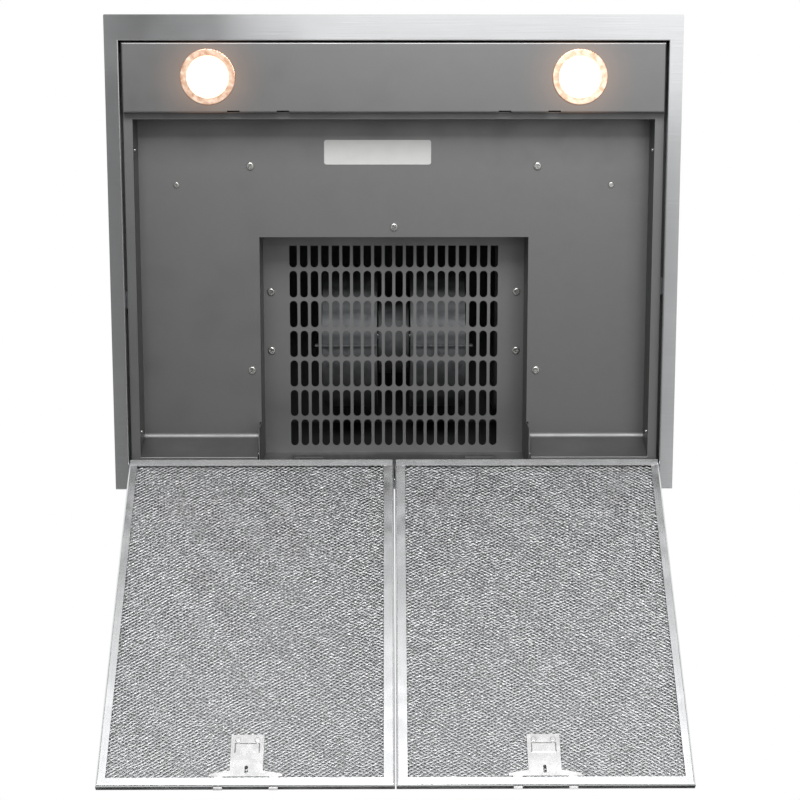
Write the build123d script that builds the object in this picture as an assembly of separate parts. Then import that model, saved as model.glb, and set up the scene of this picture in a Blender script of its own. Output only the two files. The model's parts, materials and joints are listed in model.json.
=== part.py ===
# Wall mount range hood with two hinged grease filters, seen open.
# Frame: X to the right, the wall is the plane Y = 0 and the front faces -Y,
# Z up from the underside of the rim. Millimetres.
from build123d import *

import os
from math import cos, radians, sin

os.makedirs("parts", exist_ok=True)

# Sheet and general fits
SHEET = 1.0
GAP = 0.3
PRESS_EDGE = 1.2

# Canopy
WIDTH = 598.0
DEPTH = 499.0
BAND_H = 60.0
PYRAMID_TOP = 200.0
RIM_SIDE = 14.5
RIM_FRONT = 26.3
RIM_REAR = 11.0
LIP_H = 10.0
HALF_W = WIDTH / 2
OPEN_X = HALF_W - RIM_SIDE
OPEN_FRONT = -DEPTH + RIM_FRONT

# Wall fixing
WALL_HOLE_X = 170.0
WALL_HOLES_Z = (80.0, 150.0)
WALL_HOLE_R = 4.0

# Flue
FLUE_W = 310.0
FLUE_D = 275.0
FLUE_TOP = 665.0
FLUE_RETURN = 15.0
COLLAR_H = 14.0
UPPER_INSET = 1.5
UPPER_BOTTOM = 240.0
UPPER_TOP = 672.0
SLOT_ROWS = 2
SLOTS_PER_ROW = 9

# Liner behind the filters
STRIP_Z = 14.0
PANEL_Z = 51.0
LINER_X = 273.5
LINER_FRONT = -392.0
LINER_REAR_TOP = -48.0
LINER_REAR_FOOT = -32.0
LINER_BEND_R = 6.0
STRIP_X = 282.0
LEDGE_FRONT = -400.0
STRIP_REAR = -14.0
SHELF_Z = 25.0

# Recess under the blower and its grille
BAY_X = 145.2
BAY_FRONT = -266.6
BAY_REAR = -19.1
BAY_FLANGE = 14.0
BAY_SHOULDER = -64.0
BAY_REAR_GAP = 1.2
GRILLE_Z = 108.0
BAY_LIP_REAR = -253.1
SLOT_COLUMNS = 20
SLOT_LINES = 7
COLUMN_PITCH = 11.79
LINE_PITCH = 33.6
SLOT_W = 8.5
SLOT_L = 29.8
SLOT_FIELD_Y = -142.8

# Small fasteners
SCREW_R = 2.0
SCREW_HEAD_R = 4.2
RECESS_W = 1.3
RECESS_L = 4.6
RECESS_DEEP = 1.3
RIVET_STEM_R = 1.2
SMALL_RIVET_HEAD_R = 3.1
LABEL_CORNER = 2.5

# Light panel and lamps
LIGHT_X = 282.3
LIGHT_FRONT = -471.2
LIGHT_REAR = -398.9
LIGHT_Z = 2.0
LIGHT_BEND = 2.0
LAMP_X = 192.9
LAMP_Y = -435.9
LAMP_R = 28.8
LAMP_GLASS_R = 22.0
NOTCH_X = 141.2
NOTCH_SPREAD = 25.8
NOTCH_W = 13.0
NOTCH_LOW = 1.5
NOTCH_HIGH = 10.0
NOTCH_DEPTH = 2.4

# Grease filters, drawn closed and then swung open about their pins
FILTER_OPEN = 133.4
HINGE_Y = -24.0
HINGE_Z = 3.75
FILTER_IN = 0.7
FILTER_OUT = 284.2
FILTER_REAR = -18.0
FILTER_FRONT = -396.0
FILTER_LOW = 0.5
FILTER_THICK = 9.0
RIM_W = 8.8
RIM_W_INNER = 10.6
RIM_ROUND = 2.2
HINGE_RAIL_FALL = 0.45
RIM_FACE_ROUND = 1.0
LIP_W = 3.6
LIP_STEP = 0.5
PROFILE_T = 0.7
MESH_INSET = 1.8
MESH_INSET_REAR = 2.6
MESH_T = 5.2
PIN_R = 1.5
PIN_FIT = 0.05
STUD_HALF = 2.2
HINGE_PLATE_T = 0.7

# Filter latch
LATCH_X = 142.2
LATCH_TRAVEL = 5.0
TAB_SPREAD = 26.3
TAB_W = 8.4
TAB_OUT = 3.1
TAB_DROP = 1.2
TAB_CLEARANCE = 0.8
PLATE_HALF = 15.8
PLATE_BASE = 34.7
PLATE_T = 0.8
PLATE_TOP_Y = -341.9
PLATE_FOOT_Y = -385.4
WING_ROOT = 6.2
WING_TIP = 2.8
RIVET_Y = -347.5
RIVET_X = 9.3
EMBOSS_Y = -356.1
EMBOSS_W = 24.4
EMBOSS_L = 10.8
EMBOSS_H = 0.5
EMBOSS_SLOPE = 68
RIVET_HEAD_R = 2.7
RIVET_HEAD_H = 0.8
GUIDE_Y = -376.0
GUIDE_SLOT_L = 8.6
GUIDE_SLOT_Y = -378.3

# Blower
FAN_Y = -139.0
FAN_Z = 208.0
SCROLL_IN = 19.0
SCROLL_OUT = 81.0
SCROLL_R = 83.0
OUTLET_FRONT = -144.0
BOX_TOP = 300.0
INLET_R = 52.0
IMPELLER_R = 72.0
IMPELLER_BORE_R = 60.0
IMPELLER_IN = 25.0
IMPELLER_OUT = 76.0
BLADES = 36
SHAFT_R = 4.0
MOTOR_R = 44.0
MOTOR_HALF = 17.5

# Duct collar and non-return flaps
DUCT_Y = -113.0
DUCT_R = 75.0
PLENUM_TOP = 338.0
COLLAR_TOP = 385.0
FLAP_Z = 352.0
FLAP_SPREAD = 3.0
FLAP_PIN_R = 1.2

# Mains lead
GLAND_X = 118.0
GLAND_Y = -60.0
MAINS_Z = 150.0

# Controls in the front band
FASCIA_X = 86.0
FASCIA_LOW = 17.0
FASCIA_HIGH = 43.0
BUTTON_PITCH = 30.0
BUTTON_W = 20.0
BUTTON_H = 11.0
BUTTON_PROUD = 1.2
BUTTON_NAMES = ("lamp", "off", "low", "medium", "high")


def block(x0, x1, y0, y1, z0, z1):
    """A box between two corners."""
    middle = Pos((x0 + x1) / 2, (y0 + y1) / 2, (z0 + z1) / 2)
    return middle * Box(x1 - x0, y1 - y0, z1 - z0)


def rod_x(radius, x0, x1, y, z):
    """A round bar along X."""
    return Pos((x0 + x1) / 2, y, z) * Rot(0, 90, 0) * Cylinder(radius, x1 - x0)


def rod_y(radius, y0, y1, x, z):
    """A round bar along Y."""
    return Pos(x, (y0 + y1) / 2, z) * Rot(90, 0, 0) * Cylinder(radius, y1 - y0)


def rod_z(radius, z0, z1, x, y):
    """A round bar along Z."""
    return Pos(x, y, (z0 + z1) / 2) * Cylinder(radius, z1 - z0)


def both_sides(piece):
    """The piece and its mirror image across the middle."""
    return [piece, mirror(piece, Plane.YZ)]


def cut_all(piece, tools):
    """The piece less every tool."""
    for tool in tools:
        piece = piece - tool
    return piece


def side_profile(points, x0, x1):
    """A prism along X whose outline is given as (y, z) points."""
    outline = Plane.YZ * make_face(Polyline(*points, close=True))
    return Pos(x0, 0, 0) * extrude(outline, x1 - x0)


def plan_profile(points, z0, z1):
    """A prism along Z whose outline is given as (x, y) points."""
    return Pos(0, 0, z0) * extrude(make_face(Polyline(*points, close=True)), z1 - z0)


def save(name, *pieces):
    """Writes one node, made of one or several separate solids."""
    solids = [solid for piece in pieces for solid in piece.solids()]
    shape = solids[0] if len(solids) == 1 else Compound(solids)
    export_step(shape, f"parts/{name}.step")


# Canopy


def front_rounded(half, front, rear, radius):
    """A plan rectangle whose two front corners are rounded."""
    plan = Pos(0, (front + rear) / 2) * Rectangle(2 * half, rear - front)
    if radius == 0:
        return plan
    return fillet([v for v in plan.vertices() if v.Y < front + 0.1], radius)


def canopy_form(inset, rear, low, high, radius=0):
    """Band and pyramid in one block, drawn in by the inset at the front and sides."""
    foot = front_rounded(HALF_W - inset, -DEPTH + inset, rear, radius)
    head = front_rounded(FLUE_W / 2 - inset, -FLUE_D + inset, rear, radius)
    band = Pos(0, 0, low) * extrude(foot, BAND_H - low)
    form = band + loft([Pos(0, 0, BAND_H) * foot, Pos(0, 0, PYRAMID_TOP) * head])
    if high > PYRAMID_TOP:
        form += Pos(0, 0, PYRAMID_TOP) * extrude(head, high - PYRAMID_TOP)
    return form


def rim_hem():
    """The turned-in rim round the opening, with its upturned lip."""
    slab = block(-HALF_W, HALF_W, -DEPTH, 0, 0, SHEET)
    lip = block(-OPEN_X - SHEET, OPEN_X + SHEET, OPEN_FRONT - SHEET, -RIM_REAR + SHEET, 0, LIP_H)
    opening = block(-OPEN_X, OPEN_X, OPEN_FRONT, -RIM_REAR, -1, LIP_H + 1)
    hem = slab + lip - opening
    bends = hem.edges().filter_by(lambda e: abs(e.center().Z) < 0.01)
    inner = [e for e in bends if abs(e.center().X) < HALF_W - 1 and e.center().Y > -DEPTH + 1]
    inner = [e for e in inner if e.center().Y < -1]
    return fillet(inner, SHEET * 0.9)


def canopy_shell():
    outer = canopy_form(0, 0, 0, PYRAMID_TOP, PRESS_EDGE)
    shell = outer - canopy_form(SHEET, 5, SHEET, PYRAMID_TOP + 1)
    shell -= block(-OPEN_X - 2, OPEN_X + 2, OPEN_FRONT - 2, -RIM_REAR + 2, -1, SHEET + 1)
    shell += rim_hem() & outer
    shell += flue_collar()
    shell -= block(-HALF_W + SHEET, HALF_W - SHEET, -SHEET, 1, -1, PYRAMID_TOP - SHEET)
    shell -= block(-FASCIA_X, FASCIA_X, -DEPTH - 1, -DEPTH + 3, FASCIA_LOW, FASCIA_HIGH)
    for hole in both_sides(rod_x(PIN_R + PIN_FIT, OPEN_X - 1, OPEN_X + 3, HINGE_Y, HINGE_Z)):
        shell -= hole
    return shell


def flue_collar():
    """The ledge and upstand at the top of the pyramid that the flue slips over."""
    half, front = FLUE_W / 2, -FLUE_D
    fit = SHEET + GAP
    ledge = block(-half, half, front, 0, PYRAMID_TOP - SHEET, PYRAMID_TOP)
    stand = block(-half + fit, half - fit, front + fit, -2, PYRAMID_TOP - SHEET, PYRAMID_TOP + COLLAR_H)
    inner = fit + SHEET
    hole = block(-half + inner, half - inner, front + inner, 5, PYRAMID_TOP - 5, PYRAMID_TOP + 20)
    return ledge + stand - hole


def wall_holes():
    holes = []
    for z in WALL_HOLES_Z:
        holes += both_sides(rod_y(WALL_HOLE_R, -20, 5, WALL_HOLE_X, z))
    return holes


def canopy_back():
    half, top_half = HALF_W - SHEET - GAP, FLUE_W / 2 - 4.0
    low, high = 0, PYRAMID_TOP - SHEET - GAP
    shoulder = BAND_H - 1
    outline = [(-half, low), (half, low), (half, shoulder), (top_half, high)]
    outline += [(-x, z) for x, z in reversed(outline)]
    face = Plane.XZ * make_face(Polyline(*outline, close=True))
    panel = extrude(face, SHEET)
    return cut_all(panel, wall_holes())


def hanging_rail():
    strip = block(-182, 182, -3, -SHEET, 135, 165)
    return cut_all(strip, wall_holes())


# Liner, recess and grille


def screw_places():
    """Where the liner's large screws stand."""
    return [(154.0, -342.6), (-154.0, -342.6), (0.0, -277.4), (154.8, -121.6), (-154.8, -121.6)]


GRILLE_SCREWS = [(137.0, -201.6), (-137.0, -201.6), (137.0, -135.4), (-137.0, -135.4)]
SMALL_RIVETS = [(233.4, -322.4), (-233.4, -322.4)]
WALL_RIVETS_Y = (-360.2, -58.2)
WALL_RIVET_Z = 25.0


def liner_fold(inset):
    """The block that the folded main panel wraps, grown outward by the inset."""
    front, top = LINER_FRONT - inset, PANEL_Z + inset
    rear_top, rear_foot = LINER_REAR_TOP + inset, LINER_REAR_FOOT + inset
    slope = (rear_foot - rear_top) / (PANEL_Z - STRIP_Z)
    points = [(front, 0), (front, top), (rear_top, top), (rear_foot + slope * STRIP_Z, 0)]
    folded = side_profile(points, -LINER_X, LINER_X)
    bends = [e for e in folded.edges().filter_by(Axis.X) if e.center().Z > top - 0.1]
    rear_bend = [e for e in bends if abs(e.center().Y - rear_top) < 0.1]
    return fillet(rear_bend, LINER_BEND_R + inset)


def inner_liner():
    """The main panel with its front and rear walls and their ledges, folded from one sheet."""
    low = block(-LINER_X, LINER_X, LEDGE_FRONT, STRIP_REAR, STRIP_Z, STRIP_Z + SHEET)
    walls = liner_fold(SHEET) & block(-300, 300, -500, 0, STRIP_Z, 100)
    liner = low + walls - liner_fold(0)
    bends = [e for e in liner.edges().filter_by(Axis.X) if e.length > 500]
    outer = [e for e in bends if e.center().Z > PANEL_Z + SHEET / 2 and e.center().Y < LINER_FRONT]
    foot = [e for e in bends if abs(e.center().Z - STRIP_Z) < 0.01]
    foot = [e for e in foot if LINER_FRONT - 0.5 < e.center().Y < LINER_REAR_FOOT + 0.5]
    liner = fillet(outer + foot, 0.9)
    liner -= block(-BAY_X, BAY_X, BAY_FRONT, -52, PANEL_Z - 5, PANEL_Z + 5)
    rear_half = BAY_X + SHEET + BAY_REAR_GAP
    liner -= block(-rear_half, rear_half, BAY_SHOULDER, BAY_REAR, STRIP_Z - 5, PANEL_Z + 5)
    return cut_all(liner, [rod_z(SCREW_R, 40, 70, x, y) for x, y in screw_places() + SMALL_RIVETS])


def liner_side():
    """The right-hand side channel: the wall, the strip below it, and the shelf that carries it."""
    low, top, shelf_top = STRIP_Z, PANEL_Z + SHEET, SHELF_Z + SHEET
    rear_top, rear_foot = LINER_REAR_TOP + SHEET, LINER_REAR_FOOT + SHEET
    outline = [
        (LIGHT_FRONT, low), (LIGHT_FRONT, low + SHEET), (LINER_FRONT - SHEET, low + SHEET),
        (LINER_FRONT - SHEET, top), (rear_top, top), (rear_foot, low + SHEET),
        (STRIP_REAR, low + SHEET), (STRIP_REAR, low),
    ]
    channel = side_profile(outline, LINER_X, LINER_X + SHEET)
    channel += block(LINER_X, STRIP_X + SHEET, LIGHT_FRONT, STRIP_REAR, low, low + SHEET)
    channel += block(STRIP_X, STRIP_X + SHEET, LIGHT_FRONT, STRIP_REAR, low, shelf_top)
    channel += block(STRIP_X, HALF_W - SHEET, LIGHT_FRONT, STRIP_REAR, SHELF_Z, shelf_top)
    for y in WALL_RIVETS_Y:
        channel -= rod_x(RIVET_STEM_R, LINER_X - 3, LINER_X + 3, y, WALL_RIVET_Z)
    return channel


def blower_bay():
    """The recess box between the liner and the grille, with stamped ribs in its rear wall."""
    outer_x, front, rear = BAY_X + SHEET, BAY_FRONT - SHEET, BAY_REAR + SHEET
    low = PANEL_Z + SHEET
    walls = block(-outer_x, outer_x, front, rear, low, GRILLE_Z)
    walls += block(-outer_x, outer_x, BAY_SHOULDER + 1, rear, STRIP_Z + SHEET, low + 1)
    flange_x = outer_x + BAY_FLANGE
    walls += block(-flange_x, flange_x, front - BAY_FLANGE, BAY_SHOULDER - 2, low, low + SHEET)
    bay = walls - block(-BAY_X, BAY_X, BAY_FRONT, BAY_REAR, 0, GRILLE_Z + 1)
    bay += block(-BAY_X, BAY_X, BAY_FRONT, BAY_LIP_REAR, GRILLE_Z - SHEET, GRILLE_Z)
    for rib in both_sides(block(79, 111, BAY_REAR - 1, BAY_REAR, 76, 86)):
        bay += rib
    return cut_all(bay, [rod_z(SCREW_R, 40, 70, x, y) for x, y in screw_places()])


def blower_grille():
    edge = BAY_X + SHEET
    plate = block(-edge, edge, BAY_FRONT - SHEET, BAY_REAR + SHEET, GRILLE_Z, GRILLE_Z + SHEET)
    grid = GridLocations(COLUMN_PITCH, LINE_PITCH, SLOT_COLUMNS, SLOT_LINES)
    field = Sketch() + [place * SlotOverall(SLOT_L, SLOT_W, rotation=90) for place in grid]
    plate -= Pos(0, SLOT_FIELD_Y, GRILLE_Z - 1) * extrude(field, 3)
    return cut_all(plate, [rod_z(SCREW_R, 100, 120, x, y) for x, y in GRILLE_SCREWS])


def pan_head(x, y, z, head_r, head_h, shank_r, length):
    """A rounded head under the sheet at z, on a stem that points up."""
    head = rod_z(head_r, z - head_h, z, x, y)
    head = fillet(head.edges().sort_by(Axis.Z)[0], head_h * 0.6)
    return head + rod_z(shank_r, z - 0.5, z + length, x, y)


def cross_screw(x, y, z, turn):
    """A pan head screw with a cross recess, turned by some degrees."""
    head_h = 2.3
    screw = pan_head(x, y, z, SCREW_HEAD_R, head_h, SCREW_R, 8)
    for angle in (turn, turn + 90):
        arm = Pos(x, y, z - head_h) * Rot(0, 0, angle) * Box(RECESS_L, RECESS_W, 2 * RECESS_DEEP)
        screw -= arm
    return screw


def liner_rivets():
    rivets = [pan_head(x, y, PANEL_Z, SMALL_RIVET_HEAD_R, 1.5, SCREW_R, 3) for x, y in SMALL_RIVETS]
    for y in WALL_RIVETS_Y:
        stem = rod_x(RIVET_STEM_R, LINER_X - 0.2, LINER_X + 3, y, WALL_RIVET_Z)
        rivets += both_sides(rod_x(2.0, LINER_X - 1.2, LINER_X, y, WALL_RIVET_Z) + stem)
    return rivets


def rail_clips():
    """Spring clips on the outer edge of each side strip."""
    clips = []
    for side, y in ((-1, -203.0), (1, -217.3)):
        x0, x1 = STRIP_X + SHEET, STRIP_X + SHEET + 1.2
        leaf = block(x0, x1, y - 9, y + 9, 11.5, 23.0)
        clips.append(leaf if side > 0 else mirror(leaf, Plane.YZ))
    return clips


def rating_plate():
    """The blank label, a foil with rounded corners."""
    foil = block(-74.7, 39.8, -370.2, -344.2, PANEL_Z - 0.3, PANEL_Z)
    return fillet(foil.edges().filter_by(Axis.Z), LABEL_CORNER)


# Light panel and lamps


def light_panel():
    pan = block(-LIGHT_X, LIGHT_X, LIGHT_FRONT, LIGHT_REAR, LIGHT_Z, STRIP_Z)
    pan = fillet(pan.faces().sort_by(Axis.Z)[0].edges(), LIGHT_BEND)
    x1, y0, y1 = LIGHT_X - SHEET, LIGHT_FRONT + SHEET, LIGHT_REAR - SHEET
    hollow = block(-x1, x1, y0, y1, LIGHT_Z + SHEET, STRIP_Z + 5)
    pan -= fillet(hollow.faces().sort_by(Axis.Z)[0].edges(), LIGHT_BEND - SHEET)
    for hole in both_sides(rod_z(LAMP_GLASS_R + 3, 0, 20, LAMP_X, LAMP_Y)):
        pan -= hole
    for centre in (-NOTCH_X, NOTCH_X):
        for step in (-NOTCH_SPREAD, NOTCH_SPREAD):
            x = centre + step
            x0, x1 = x - NOTCH_W / 2, x + NOTCH_W / 2
            pan -= block(x0, x1, LIGHT_REAR - NOTCH_DEPTH, LIGHT_REAR + 1, NOTCH_LOW, NOTCH_HIGH)
    return pan


def lamp_bezel(x):
    low = LIGHT_Z - 1.4
    sleeve = rod_z(LAMP_GLASS_R + 3 - GAP, low, LIGHT_Z + 6, x, LAMP_Y)
    ring = rod_z(LAMP_R, low, LIGHT_Z, x, LAMP_Y) + sleeve
    ring = fillet(ring.edges().sort_by(Axis.Z)[0], 1.0)
    return ring - rod_z(LAMP_GLASS_R, 0, 20, x, LAMP_Y)


def lamp_glass(x):
    return rod_z(LAMP_GLASS_R - PIN_FIT, LIGHT_Z - 0.6, LIGHT_Z + 1.4, x, LAMP_Y)


def lamp_housing(x):
    low = LIGHT_Z + SHEET
    can = rod_z(LAMP_GLASS_R + 5, low, low + 26, x, LAMP_Y)
    can -= rod_z(LAMP_GLASS_R + 3, low - 1, low + 24.5, x, LAMP_Y)
    for turn in range(8):
        fin = Pos(x, LAMP_Y, low + 28) * Rot(0, 0, turn * 22.5) * Box(44, 1.2, 4)
        can += fin
    return can


# Electrical pieces above the liner


def terminal_box():
    low = PANEL_Z + SHEET
    case = block(170, 222, -390, -312, low, low + 38)
    return fillet(case.edges().filter_by(Axis.Z), 4) - block(172, 220, -388, -314, low - 1, low + 36)


def lamp_driver():
    low = PANEL_Z + SHEET
    case = block(-222, -172, -390, -306, low, low + 24)
    return fillet(case.edges().filter_by(Axis.Z), 3)


def capacitor():
    body = rod_y(16, -385, -320, 105, PANEL_Z + SHEET + 17)
    body = fillet(body.edges(), 2)
    saddle = block(97, 113, -372, -333, PANEL_Z + SHEET, PANEL_Z + SHEET + 6)
    return body + saddle


def cable_gland():
    x, y = GLAND_X, GLAND_Y
    nut = Pos(x, y, BOX_TOP) * extrude(RegularPolygon(11, 6), 8)
    cap = rod_z(8.5, BOX_TOP + 7, BOX_TOP + 20, x, y)
    thread = rod_z(8, BOX_TOP - 8, BOX_TOP + 1, x, y)
    cap = fillet(cap.edges().sort_by(Axis.Z)[-1], 2)
    return nut + cap + thread - rod_z(4, BOX_TOP - 20, BOX_TOP + 40, x, y)


def lead(radius, *points):
    """A cable laid through the points with rounded corners."""
    route = FilletPolyline(*points, radius=9)
    start = Plane(origin=points[0], z_dir=route % 0)
    return sweep(start * Circle(radius), path=route)


def wiring():
    """Mains lead from the gland to the terminal box, and the two lamp leads."""
    deck = PANEL_Z + SHEET + 5
    low, high = deck + 8, deck + 15
    mains = lead(
        3.5, (GLAND_X, GLAND_Y, BOX_TOP - 9), (GLAND_X, GLAND_Y, MAINS_Z), (GLAND_X, -290, MAINS_Z),
        (196, -290, MAINS_Z), (196, -290, high), (196, -311.8, high),
    )
    lamp = lead(2, (205, -390.2, low), (205, LAMP_Y, low), (LAMP_X, LAMP_Y, low), (LAMP_X, LAMP_Y, 35))
    link = lead(
        2.5, (169.8, -350, deck), (140, -350, deck), (140, -400, deck),
        (-140, -400, deck), (-140, -350, deck), (-171.8, -350, deck),
    )
    return [mains, link] + both_sides(lamp)


# Controls


def control_fascia():
    inset = 0.2
    x, low, high = FASCIA_X - inset, FASCIA_LOW + inset, FASCIA_HIGH - inset
    strip = block(-x, x, -DEPTH, -DEPTH + 3, low, high)
    strip += block(-88, 88, -DEPTH + SHEET, -DEPTH + 3, 13, 47)
    for index in range(len(BUTTON_NAMES)):
        centre = button_x(index)
        half_w, half_h = BUTTON_W / 2 + 0.4, BUTTON_H / 2 + 0.4
        strip -= block(centre - half_w, centre + half_w, -DEPTH - 1, -DEPTH + 4, 30 - half_h, 30 + half_h)
    return strip


def button_x(index):
    return (index - (len(BUTTON_NAMES) - 1) / 2) * BUTTON_PITCH


def push_button(index):
    x = button_x(index)
    front = -DEPTH - BUTTON_PROUD
    cap = block(x - BUTTON_W / 2, x + BUTTON_W / 2, front, -DEPTH + 7, 30 - BUTTON_H / 2, 30 + BUTTON_H / 2)
    face_edges = [e for e in cap.edges() if abs(e.center().Y - front) < 0.01]
    cap = fillet(face_edges, 0.5)
    collar = block(x - 11.5, x + 11.5, -DEPTH + 3.4, -DEPTH + 4.9, 23, 37)
    return cap + collar


def control_housing():
    outer = block(-90, 90, -DEPTH + SHEET, -480.5, 11, 49)
    return outer - block(-88, 88, -DEPTH, -482.5, 13, 47)


def control_board():
    board = block(-84, 84, -484.1, -482.5, 14, 46)
    for index in range(len(BUTTON_NAMES)):
        x = button_x(index)
        board += block(x - 4, x + 4, -490, -484.1, 26, 34)
    return board


# Blower


def blower_box():
    x, front, rear = BAY_X + SHEET, BAY_FRONT - SHEET, BAY_REAR + SHEET
    low = GRILLE_Z + SHEET
    box = block(-x, x, front, rear, low, BOX_TOP)
    box -= block(-BAY_X, BAY_X, BAY_FRONT, BAY_REAR, low - 1, BOX_TOP - SHEET)
    x0, x1 = SCROLL_IN + SHEET, SCROLL_OUT - SHEET
    y0, y1 = OUTLET_FRONT + SHEET, FAN_Y + SCROLL_R - SHEET
    for hole in both_sides(block(x0, x1, y0, y1, BOX_TOP - 5, BOX_TOP + 5)):
        box -= hole
    box -= rod_z(8, BOX_TOP - 5, BOX_TOP + 5, GLAND_X, GLAND_Y)
    return box - rod_y(3.8, BAY_FRONT - 5, BAY_FRONT + 5, GLAND_X, MAINS_Z)


def scroll():
    """Right-hand fan scroll with its inlet, outlet neck and bottom seam."""
    rear = FAN_Y + SCROLL_R
    top = BOX_TOP - SHEET
    skin = rod_x(SCROLL_R, SCROLL_IN, SCROLL_OUT, FAN_Y, FAN_Z)
    skin += block(SCROLL_IN, SCROLL_OUT, OUTLET_FRONT, rear, FAN_Z, top)
    room = rod_x(SCROLL_R - SHEET, SCROLL_IN + SHEET, SCROLL_OUT - SHEET, FAN_Y, FAN_Z)
    x0, x1 = SCROLL_IN + SHEET, SCROLL_OUT - SHEET
    room += block(x0, x1, OUTLET_FRONT + SHEET, rear - SHEET, FAN_Z, top + 1)
    seam_z = FAN_Z - SCROLL_R
    seam = block(SCROLL_IN, SCROLL_OUT + 8, FAN_Y - 0.9, FAN_Y + 0.9, seam_z - 4, seam_z + 8)
    casing = skin + seam - room
    casing -= rod_x(INLET_R, SCROLL_OUT - 3, SCROLL_OUT + 3, FAN_Y, FAN_Z)
    return casing - rod_x(30, SCROLL_IN - 3, SCROLL_IN + 3, FAN_Y, FAN_Z)


def impeller():
    """Right-hand wheel: back plate with hub, curved-forward blades and end ring."""
    plate = rod_x(IMPELLER_R, IMPELLER_IN, IMPELLER_IN + 1.5, FAN_Y, FAN_Z)
    plate += rod_x(11, IMPELLER_IN, IMPELLER_IN + 16, FAN_Y, FAN_Z)
    ring = rod_x(IMPELLER_R, IMPELLER_OUT - 2, IMPELLER_OUT, FAN_Y, FAN_Z)
    ring -= rod_x(IMPELLER_R - 5, IMPELLER_OUT - 3, IMPELLER_OUT + 1, FAN_Y, FAN_Z)
    wheel = plate + ring
    middle = (IMPELLER_R + IMPELLER_BORE_R) / 2
    length = IMPELLER_OUT - IMPELLER_IN - 1
    blades = []
    for number in range(BLADES):
        turn = number * 360 / BLADES
        blade = Rot(turn, 0, 0) * Pos(0, middle - 0.6, 0) * Rot(28, 0, 0) * Box(length, 10.5, 0.9)
        blades.append(Pos((IMPELLER_IN + IMPELLER_OUT) / 2, FAN_Y, FAN_Z) * blade)
    wheel = wheel.fuse(*blades)
    return wheel - rod_x(SHAFT_R, 0, 100, FAN_Y, FAN_Z)


def fan_shaft():
    bar = rod_x(SHAFT_R, -48, 48, FAN_Y, FAN_Z)
    return chamfer(bar.edges(), 0.6)


def motor_case():
    """Motor shell with flat end bells, welded to the yoke that hangs it from the blower box."""
    shell = rod_x(MOTOR_R, -MOTOR_HALF, MOTOR_HALF, FAN_Y, FAN_Z)
    shell += motor_yoke()
    shell -= rod_x(MOTOR_R - 2, -MOTOR_HALF + 2, MOTOR_HALF - 2, FAN_Y, FAN_Z)
    return shell - rod_x(SHAFT_R + PIN_FIT, -40, 40, FAN_Y, FAN_Z)


def motor_yoke():
    top = BOX_TOP - SHEET
    yoke = block(-13, 13, FAN_Y - 32, FAN_Y + 32, FAN_Z, top)
    yoke -= block(-14, 14, FAN_Y - 30, FAN_Y + 30, FAN_Z - 1, top - 2)
    for side in (-1, 1):
        near, far = FAN_Y + side * 20, FAN_Y + side * 32
        yoke += block(-13, 13, min(near, far), max(near, far), FAN_Z + 24, FAN_Z + 40)
    return yoke


def motor_stator():
    ring = rod_x(MOTOR_R - 2, -12, 12, FAN_Y, FAN_Z)
    return ring - rod_x(22.6, -15, 15, FAN_Y, FAN_Z)


def motor_rotor():
    core = rod_x(22, -11, 11, FAN_Y, FAN_Z)
    return core - rod_x(SHAFT_R, -15, 15, FAN_Y, FAN_Z)


def outlet_plenum():
    y0, y1 = DUCT_Y - 79, DUCT_Y + 79
    case = block(-88, 88, y0, y1, BOX_TOP, PLENUM_TOP)
    case -= block(-87, 87, y0 + 1, y1 - 1, BOX_TOP - 1, PLENUM_TOP - SHEET)
    return case - rod_z(DUCT_R - SHEET, PLENUM_TOP - 5, PLENUM_TOP + 5, 0, DUCT_Y)


def duct_collar():
    tube = rod_z(DUCT_R, PLENUM_TOP, COLLAR_TOP, 0, DUCT_Y)
    tube += rod_z(DUCT_R + 3, PLENUM_TOP, PLENUM_TOP + 1.5, 0, DUCT_Y)
    tube -= rod_z(DUCT_R - 1.5, PLENUM_TOP - 1, COLLAR_TOP + 1, 0, DUCT_Y)
    ledge_z = FLAP_Z - 2.5 - GAP
    ledge = rod_z(DUCT_R - 1, ledge_z - 2, ledge_z, 0, DUCT_Y)
    ledge -= rod_z(DUCT_R - 5, ledge_z - 3, ledge_z + 1, 0, DUCT_Y)
    return cut_all(tube + ledge, flap_pins())


def flap_pins():
    reach = DUCT_R - 0.4
    return [rod_x(FLAP_PIN_R, -reach, reach, DUCT_Y + step, FLAP_Z) for step in (-FLAP_SPREAD, FLAP_SPREAD)]


def flap(side):
    """Half of the non-return damper: a half disc with a knuckle round its pin."""
    radius = DUCT_R - 2.5
    pin_y = DUCT_Y + side * FLAP_SPREAD
    disc = rod_z(radius, FLAP_Z - 2.5, FLAP_Z - 1.3, 0, DUCT_Y)
    keep = block(-80, 80, min(pin_y, pin_y + side * 90), max(pin_y, pin_y + side * 90), 300, 400)
    knuckle = rod_x(2.5, -66, 66, pin_y, FLAP_Z)
    leaf = (disc & keep) + knuckle
    return leaf - rod_x(FLAP_PIN_R + PIN_FIT, -80, 80, pin_y, FLAP_Z)


# Flue


def flue(inset, rear, low, high):
    """A U-shaped cover, open at the wall, with narrow returns along its rear edges."""
    half, front = FLUE_W / 2 - inset, -FLUE_D + inset
    cover = block(-half, half, front, rear, low, high)
    corners = [e for e in cover.edges().filter_by(Axis.Z) if e.center().Y < front + 1]
    cover = fillet(corners, PRESS_EDGE)
    cover -= block(-half + SHEET, half - SHEET, front + SHEET, rear + 5, low - 1, high + 1)
    for strip in both_sides(block(half - FLUE_RETURN, half, rear - SHEET, rear, low, high)):
        cover += strip
    return cover


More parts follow.
